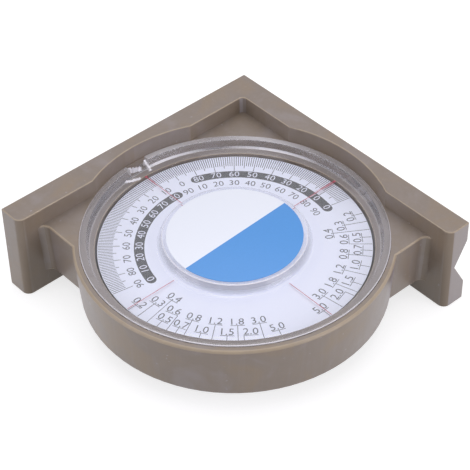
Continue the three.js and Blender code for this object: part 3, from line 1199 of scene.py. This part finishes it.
@dataclass
class Ink:
    """Thin raised print in one colour, collected into one piece."""

    shop: Workshop
    name: str
    finish: Speckled
    bottom: float
    body: Body = Body.DIAL
    slot: Slot = Slot.CARD
    thickness: float = 0.012
    shape: Shape = field(default_factory=bmesh.new)

    def bar(self, start: Vector, end: Vector, width: float) -> None:
        """Adds a straight line.

        Args:
            start: One end.
            end: The other end.
            width: The line's width.
        """
        run = end - start
        turn = Matrix.Rotation(math.atan2(run.y, run.x), 4, "Z")
        size = Matrix.Diagonal((run.length, width, 1, 1))
        bmesh.ops.create_grid(
            self.shape, x_segments=1, y_segments=1, size=0.5,
            matrix=Matrix.Translation((start + end) / 2) @ turn @ size)

    def band(self, radius: float, half_width: float, start: float, end: float) -> None:
        """Adds a curved band with round ends about the axis.

        Args:
            radius: Its middle radius.
            half_width: Half its width.
            start: The angle in degrees where it starts, before its round end.
            end: The angle where it ends.
        """
        strip = bmesh.new()
        line = [strip.verts.new(polar(radius + step, start)) for step in (-half_width, 0, half_width)]
        edges = [strip.edges.new(pair) for pair in zip(line, line[1:])]
        sweep(strip, line + edges, math.radians(end - start), 96)
        for degrees, half_turn in ((start, -math.pi), (end, math.pi)):
            middle = polar(radius, degrees)
            hub, tip = strip.verts.new(middle), strip.verts.new(polar(radius + half_width, degrees))
            sweep(strip, [hub, tip, strip.edges.new((hub, tip))], half_turn, 16, middle)
        bmesh.ops.remove_doubles(strip, verts=strip.verts, dist=0.002)
        join(self.shape, strip)

    def figure(self, pattern: bpy.types.Mesh, place: Vector, degrees: float) -> None:
        """Adds a flat figure.

        Args:
            pattern: The figure's mesh.
            place: Where its middle goes.
            degrees: How far it is turned.
        """
        strip = bmesh.new()
        strip.from_mesh(pattern)
        strip.transform(Matrix.Translation(place) @ Matrix.Rotation(math.radians(degrees), 4, "Z"))
        join(self.shape, strip)

    def dot(self, place: Vector, radius: float) -> None:
        """Adds a round dot."""
        bmesh.ops.create_circle(
            self.shape, cap_ends=True, radius=radius, segments=16, matrix=Matrix.Translation(place))

    def build(self) -> None:
        """Gives the print its thickness and makes the piece."""
        shape = self.shape
        shape.normal_update()
        bmesh.ops.reverse_faces(shape, faces=[face for face in shape.faces if face.normal.z < 0])
        raised = bmesh.ops.extrude_face_region(shape, geom=shape.faces[:])
        tops = [item for item in raised["geom"] if isinstance(item, bmesh.types.BMVert)]
        bmesh.ops.translate(shape, verts=tops, vec=(0, 0, self.thickness))
        bmesh.ops.translate(shape, verts=shape.verts, vec=(0, 0, self.bottom))
        self.shop.piece(self.name, shape, self.finish.build(), self.body, self.slot)


@dataclass
class Figures:
    """Flat figures of one height, kept so that each text is made once."""

    height: float = 2.4
    weight: float = -0.002
    spacing: float = 1.02
    made: dict[str, bpy.types.Mesh] = field(default_factory=dict)

    def pattern(self, text: str) -> bpy.types.Mesh:
        """Finds or makes the mesh of a text.

        Args:
            text: The text.

        Returns:
            Its mesh, centred at the origin with its tops towards +Y.
        """
        if text not in self.made:
            self.made[text] = self._draw(text)
        return self.made[text]

    def _draw(self, text: str) -> bpy.types.Mesh:
        """Makes a text into a mesh of the right height.

        Args:
            text: The text.

        Returns:
            Its mesh, centred at the origin.
        """
        curve = bpy.data.curves.new("figure", "FONT")
        curve.body = text
        curve.resolution_u = 3
        curve.offset = self.weight
        curve.space_character = self.spacing
        holder = stand("figure", curve)
        mesh = bpy.data.meshes.new_from_object(evaluated(holder))
        bpy.data.objects.remove(holder)
        bpy.data.curves.remove(curve)
        low, high = (
            Vector([pick(corner.co[axis] for corner in mesh.vertices) for axis in range(3)])
            for pick in (min, max))
        size = Matrix.Scale(self.height / (high.y - low.y), 4)
        mesh.transform(size @ Matrix.Translation(-(low + high) / 2))
        return mesh


@dataclass
class DialCard:
    """The printed card: a degree scale in two rows over one half, slopes over the other.

    A band has its radius, and the degrees where it starts and ends. A row of slopes has the radius
    of its cross bars, the radius of its numbers and its values.
    """

    shop: Workshop
    figures: Figures = field(default_factory=Figures)
    slope_figures: Figures = field(default_factory=lambda: Figures(height=2.6))
    turn: float = -11.5
    hole: float = 4.1
    eased: float = 0.08
    facets: int = 256
    edge: float = 41.9
    line: float = 0.2
    single: float = 37.3
    five: float = 36.2
    ten: float = 35.2
    band_ten: float = 34.8
    last_band_tick: int = 80
    outer_row: float = 33.2
    inner_row: float = 28.9
    outer_band: Triple = (33.1, -0.9, 81.7)
    inner_band: Triple = (29.2, 97.6, 180.8)
    band_half: float = 1.6
    bar_half: float = 2.1
    slopes: tuple[tuple[float, float, tuple[float, ...]], ...] = (
        (39.0, 37.4, (0.2, 0.5, 0.7, 1.0, 1.5, 2.0, 5.0)),
        (34.8, 33.2, (0.3, 0.6, 0.8, 1.2, 1.8, 3.0)),
        (30.4, 28.9, (0.4,)),
    )

    def build(self) -> None:
        """Makes the card and its print."""
        shape = self.shop.disc("dial_card", self.hole, self.eased, self.facets)
        paper = Speckled("card_paper", (0.84, 0.865, 1.0), (0.815, 0.84, 0.98), 0.55, scale=900)
        self.shop.piece("printed_card", shape, paper.build(), Body.DIAL, Slot.CARD, "dial_card", 40)
        grey = Speckled("print_grey", (0.045, 0.046, 0.06), (0.06, 0.062, 0.078), scale=PRINT_GRAIN)
        dark = Speckled(
            "print_band_grey", (0.03, 0.032, 0.04), (0.04, 0.042, 0.05), 0.45, scale=PRINT_GRAIN)
        pale = Speckled("print_white", (0.8, 0.81, 0.93), (0.74, 0.75, 0.88), scale=PRINT_GRAIN)
        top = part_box("dial_card")[1].z / MILLIMETRE
        ticks = Ink(self.shop, "degree_ticks", grey, top)
        bands = Ink(self.shop, "number_bands", dark, top)
        numbers = Ink(self.shop, "degree_numbers", grey, top)
        band_numbers = Ink(self.shop, "band_numbers", pale, top + bands.thickness)
        slopes = Ink(self.shop, "slope_scale", grey, top)
        self._add_ticks(ticks)
        for radius, start, end in (self.outer_band, self.inner_band):
            bands.band(radius, self.band_half, self._at(start), self._at(end))
        self._add_degrees(numbers, band_numbers)
        self._add_slopes(slopes)
        for ink in (ticks, bands, numbers, band_numbers, slopes):
            ink.build()

    def _at(self, degree: float) -> float:
        """The angle round the axis of a place on the degree half, which runs from 0 to 180."""
        return 180 + self.turn + degree

    def _add_ticks(self, ink: Ink) -> None:
        """Adds a tick for every degree of the degree half, longer at the fives and tens.

        Args:
            ink: The print that they go into.
        """
        for degree in range(181):
            foot = self.single
            if degree % 10 == 0:
                foot = self.band_ten if degree <= self.last_band_tick else self.ten
            elif degree % 5 == 0:
                foot = self.five
            turn = self._at(degree)
            ink.bar(polar(foot, turn), polar(self.edge, turn), self.line)

    def _add_degrees(self, ink: Ink, band_ink: Ink) -> None:
        """Adds both rows of numbers, white where a band lies under them.

        Args:
            ink: The print of the grey numbers.
            band_ink: The print of the white ones.
        """
        for degree in range(0, 181, 10):
            if degree < 90:
                self._set(band_ink, degree, self.outer_row, degree)
                self._set(ink, 90 - degree, self.inner_row, degree)
            else:
                banded = degree > 90
                radius = self.inner_band[0] if banded else self.inner_row
                self._set(ink, degree - 90, self.outer_row, degree)
                self._set(band_ink if banded else ink, 180 - degree, radius, degree)

    def _set(self, ink: Ink, number: int, radius: float, degree: int) -> None:
        """Sets a number on the degree half.

        Args:
            ink: The print that it goes into.
            number: The number.
            radius: Its radius.
            degree: Its place on the degree half.
        """
        turn = self._at(degree)
        pattern = self.figures.pattern(str(number))
        ink.figure(pattern, polar(radius, turn), turn + Facing.OUTWARDS.value)

    def _add_slopes(self, ink: Ink) -> None:
        """Adds the slopes from both ends of the other half towards its middle.

        Args:
            ink: The print that they go into.
        """
        for bar, row, values in self.slopes:
            for value in values:
                turn = math.degrees(math.atan(value))
                self._add_slope(ink, value, self.turn + turn, bar, row, 1)
                self._add_slope(ink, value, 180 + self.turn - turn, bar, row, -1)

    def _add_slope(
        self, ink: Ink, value: float, degrees: float, bar: float, row: float, way: int
    ) -> None:
        """Adds one slope: a stem from the card's edge, a cross bar and the number under it.

        Args:
            ink: The print that it goes into.
            value: The slope.
            degrees: The stem's angle.
            bar: The radius of the cross bar.
            row: The radius of the number.
            way: 1 where the middle of the half lies at a larger angle, -1 where at a smaller one.
        """
        # Two of the slopes stand beside their stem, to keep clear of their neighbours.
        side = {0.6: -way, 2.0: way}.get(value, 0)
        half = polar(1, degrees + 90) * self.bar_half
        shift = half * side
        end = polar(bar, degrees)
        ink.bar(end, polar(self.edge, degrees), self.line)
        ink.bar(end + shift - half, end + shift + half, self.line)
        pattern = self.slope_figures.pattern(f"{value:.1f}")
        ink.figure(pattern, polar(row, degrees) + shift, degrees + Facing.INWARDS.value)


@dataclass
class Hairlines:
    """The red cross printed under the window.

    A smear has its line's angle in degrees, two radii and how far beside the line it lies.
    """

    shop: Workshop
    seat: float = 21.0
    inner: float = 24.2
    outer: float = 42.3
    width: float = 0.2
    gap: float = 0.004
    drop: float = 0.5
    drop_sag: float = 0.015
    smear_width: float = 0.1
    smears: tuple[tuple[float, float, float, float], ...] = (
        (180, 36.0, 42.0, 0.25), (180, 36.6, 42.2, -0.25), (180, 33.6, 41.6, 0.48),
        (180, 38.0, 41.8, -0.5), (180, 31.0, 35.0, -0.22), (270, 37.2, 41.8, 0.24),
        (270, 38.4, 41.2, -0.26),
    )

    def build(self) -> None:
        """Makes the four lines, the smears beside two and the drops of ink at their ends."""
        red = Speckled("print_red", (0.4, 0.02, 0.06), (0.5, 0.04, 0.08), 0.4, scale=PRINT_GRAIN)
        low = self.seat - Ink.thickness - self.gap
        lines = Ink(self.shop, "hairlines", red, low, Body.HOUSING, Slot.CLEAR)
        drops = Ink(self.shop, "hairline_ends", red, low - self.drop_sag, Body.HOUSING, Slot.CLEAR)
        for degrees in (0, 90, 180, 270):
            lines.bar(polar(self.inner, degrees), polar(self.outer, degrees), self.width)
        for degrees, inner, outer, shift in self.smears:
            side = polar(shift, degrees + 90)
            lines.bar(polar(inner, degrees) + side, polar(outer, degrees) + side, self.smear_width)
        for degrees in (180, 270):
            drops.dot(polar(self.outer, degrees), self.drop)
        lines.build()
        drops.build()


# Inner parts


@dataclass
class InnerParts:
    """Finishes of the parts inside the case and in the flat leg."""

    shop: Workshop

    def build(self) -> None:
        """Dresses each CAD node that keeps its own shape."""
        finishes = {
            DrawnMetal("ground_steel", (0.56, 0.57, 0.59), (0.5, 0.51, 0.53)): (
                "pivot_pin", "retaining_ring", "weight_rivet_1", "weight_rivet_2", "weight_rivet_3"),
            DrawnMetal("plated_steel", (0.4, 0.41, 0.43), (0.46, 0.46, 0.45), 0.42, 0.14, (0.05, 1, 1)): (
                "counterweight", "magnet_back_plate_1", "magnet_back_plate_2"),
            DrawnMetal("turned_brass", (0.62, 0.44, 0.18), (0.55, 0.38, 0.15), 0.28): ("hub_bush",),
            Speckled("nylon", (0.76, 0.73, 0.65), (0.7, 0.67, 0.58)): ("lower_washer", "upper_washer"),
            Speckled("dark_plastic", (0.035, 0.035, 0.04), (0.05, 0.05, 0.055), 0.45): ("dial_disc",),
            Speckled("sintered_ferrite", (0.035, 0.034, 0.037), (0.075, 0.072, 0.072), 0.65, 0.2, 900,
                     0.00008): ("magnet_1", "magnet_2"),
        }
        for finish, nodes in finishes.items():
            material = finish.build()
            for node in nodes:
                self.shop.dress(node, material)


# Studio


def aimed(name: str, data: bpy.types.ID, place: Vector, target: Vector, roll: float = 0) -> Thing:
    """Adds a lamp or camera that looks at a target.

    Args:
        name: Its name.
        data: The lamp's or camera's own settings.
        place: Where it stands.
        target: What it looks at.
        roll: Its turn about its line of sight, in degrees.

    Returns:
        The new object.
    """
    made = stand(name, data)
    made.location = place
    turn = (target - place).to_track_quat("-Z", "Y") @ Quaternion((0, 0, 1), math.radians(roll))
    made.rotation_euler = turn.to_euler()
    return made


@dataclass(frozen=True)
class Lamp:
    """A square soft lamp. Its place, from its target, and its size are in metres, its power in watts."""

    name: str
    place: Triple
    size: float
    power: float
    colour: Colour

    def hang(self, target: Vector) -> None:
        """Hangs the lamp.

        Args:
            target: The point that it lights.
        """
        lamp = bpy.data.lights.new(self.name, "AREA")
        lamp.color = self.colour
        lamp.shape = "SQUARE"
        lamp.size = self.size
        lamp.energy = self.power
        aimed(self.name, lamp, target + Vector(self.place), target)


@dataclass
class Studio:
    """A plain pale floor, a white surround and soft lamps. Sizes are in metres."""

    shop: Workshop
    floor_size: float = 4.0
    floor_colour: float = 0.5
    floor_glow: float = 0.7
    ambient: float = 0.5
    white: Colour = (1, 1, 1)
    sheen: Colour = (0.91, 0.9, 1.0)
    lit_level: float = 0.015
    lamps: tuple[Lamp, ...] = (
        Lamp("overhead_lamp", (-0.2, -0.2, 1.0), 0.9, 4.2, (0.97, 0.965, 1.0)),
        Lamp("right_lamp", (-0.28, 0.85, 0.28), 0.6, 3.5, (0.89, 0.87, 1.0)),
        Lamp("left_lamp", (0.85, -0.28, 0.28), 0.6, 2.4, (0.84, 0.83, 1.0)),
    )

    def build(self) -> None:
        """Sets up the floor, the world and the lamps."""
        self._set_world()
        self._lay_floor()
        for lamp in self.lamps:
            lamp.hang(Vector((self.shop.axis.x, self.shop.axis.y, self.lit_level)))

    def _set_world(self) -> None:
        """White to the camera, faintly lavender in reflections, softer as light."""
        graph = ShaderGraph("studio", world=True)
        surround = self._backdrop(graph, self.white, self.ambient)
        for kind, colour in (
            ("Glossy", self.sheen), ("Transmission", self.white), ("Camera", self.white),
        ):
            surround = graph.layer(graph.ray(kind), surround, self._backdrop(graph, colour, 1))
        bpy.context.scene.world = graph.finish(surround)

    @staticmethod
    def _backdrop(graph: ShaderGraph, colour: Colour, strength: float) -> Signal:
        """An even surround of that colour and strength."""
        return graph.node("Background", {"Color": (*colour, 1), "Strength": strength})

    def _lay_floor(self) -> None:
        """Lays the floor, which reads white and still keeps a soft shadow."""
        shape = bmesh.new()
        bmesh.ops.create_grid(shape, x_segments=4, y_segments=4, size=self.floor_size / 2)
        data = as_mesh("floor", shape)
        graph = ShaderGraph("floor_white")
        level = self.floor_colour
        tones = (level, level, level), (level * 0.99, level * 0.99, level)
        plain = graph.principled({
            "Base Color": graph.blend(graph.noise(3, 1), *tones),
            "Roughness": 0.9,
            "Specular IOR Level": 0.0,
        })
        glow = graph.node("Emission", {"Color": (*self.white, 1), "Strength": self.floor_glow})
        lit = graph.node("AddShader", {0: plain, 1: glow})
        seen = (graph.ray("Camera") + graph.ray("Glossy") + graph.ray("Transmission")).clamped()
        data.materials.append(graph.finish(graph.layer(seen, plain, lit)))
        floor = stand("floor", data)


@dataclass
class PhotoCamera:
    """A long lens from the open side of the L, looking down on the dial."""

    shop: Workshop
    place: Triple = (252.97, 289.78, 373.63)
    target: Triple = (-6.94, -7.84, 15.5)
    roll: float = -1.12
    lens: float = 131.04
    sensor: float = 36

    def build(self) -> None:
        """Places the camera and makes it the scene's own."""
        camera = bpy.data.cameras.new("photo_camera")
        camera.lens = self.lens
        camera.sensor_width = self.sensor
        camera.clip_start = 0.01
        place, target = (
            self.shop.axis + Vector(point) * MILLIMETRE for point in (self.place, self.target))
        bpy.context.scene.camera = aimed("photo_camera", camera, place, target, self.roll)


# Main


def build_all(frame: dict[str, object]) -> None:
    """Builds every sub-assembly in order, on the loaded model.

    Args:
        frame: The loaded model.
    """
    pivot = frame["joints"][0]["pos_m"]
    shop = Workshop(frame, Vector((pivot[0], pivot[1], 0)))
    for part in (
        MouldedFrame, ClearCover, GateRemains, CoverLabel, DialCard, Hairlines, InnerParts, Studio,
        PhotoCamera,
    ):
        part(shop).build()
        LOG.info("%s done", part.__name__)
    LOG.info("%d new pieces: %s", len(shop.made), ", ".join(shop.made))


def main() -> None:
    """Loads the model, builds the scene and reports it."""
    logging.basicConfig(level=logging.INFO, format="%(name)s: %(message)s")
    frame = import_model()
    bpy.context.scene.view_settings.view_transform = "Standard"
    build_all(frame)


if __name__ == "__main__":
    main()
